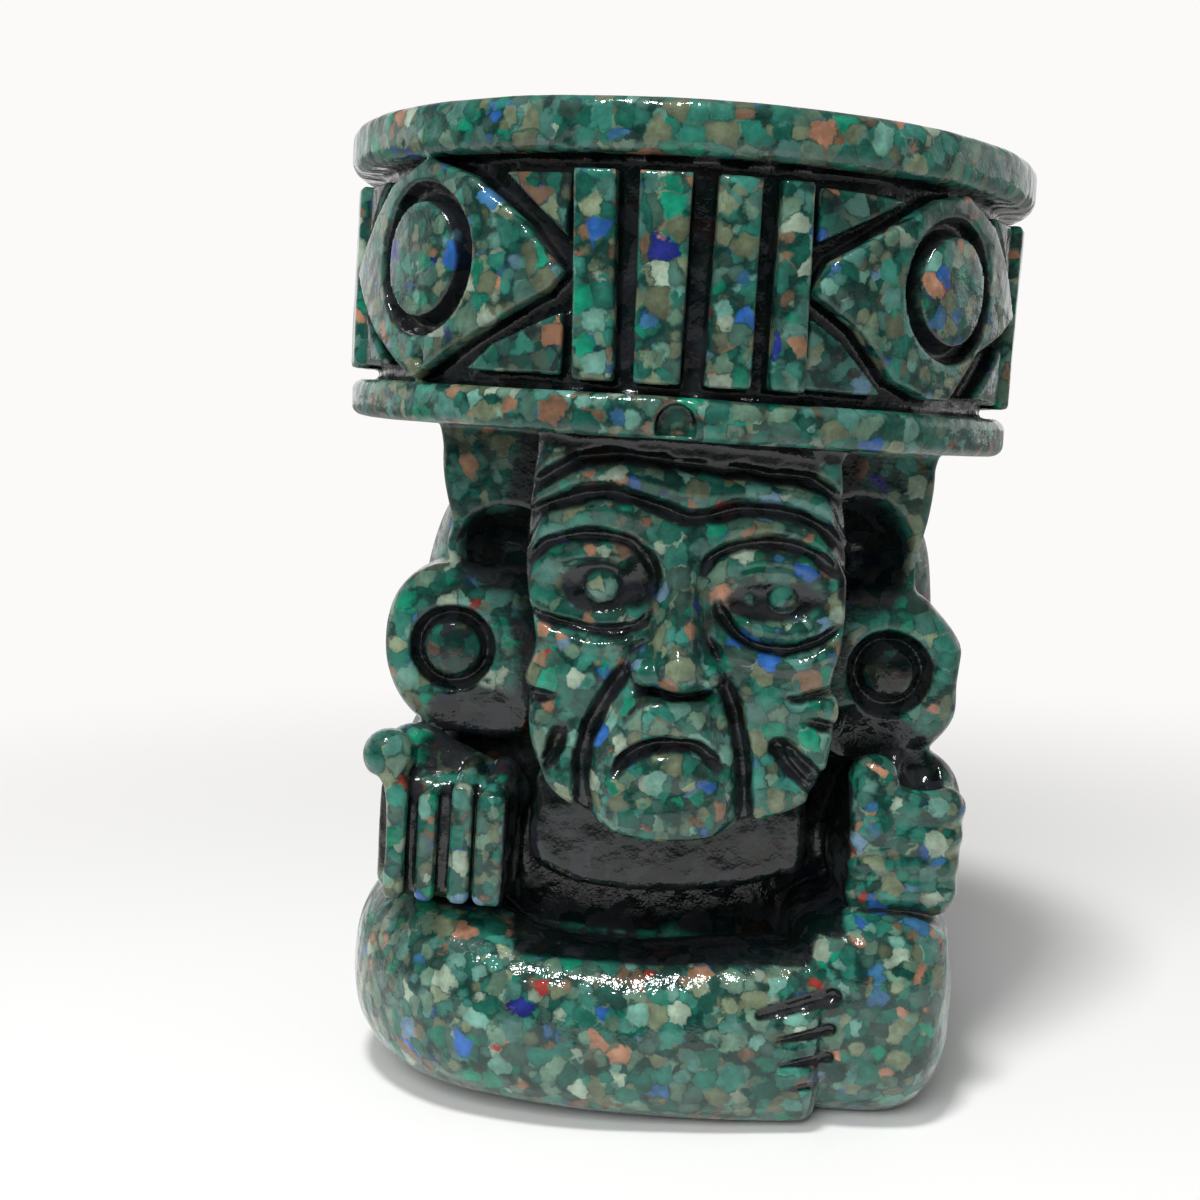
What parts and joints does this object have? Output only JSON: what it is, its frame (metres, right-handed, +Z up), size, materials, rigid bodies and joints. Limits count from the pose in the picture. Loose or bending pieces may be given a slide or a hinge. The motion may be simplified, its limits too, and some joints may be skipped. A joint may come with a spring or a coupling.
{
  "type": "seated fire god figure with brazier",
  "caption": "Small seated old fire god figure carrying a round brazier on its head, cast in crushed green stone and resin, standing on its flat underside.",
  "frame": {"origin": "on the flat underside, below the middle of the body", "axes": "+Z up from the underside, the face looks along -Y, +X is the viewer's right; the figure leans 3.7 degrees towards +X"},
  "size_m": [0.056, 0.0556, 0.0767],
  "materials": {
    "crushed_stone": "green, blue and tan stone chips in black resin under a clear gloss coat"
  },
  "bodies": {
    "root": {"fire_god_figure": "crushed_stone"}
  },
  "joints": []
}
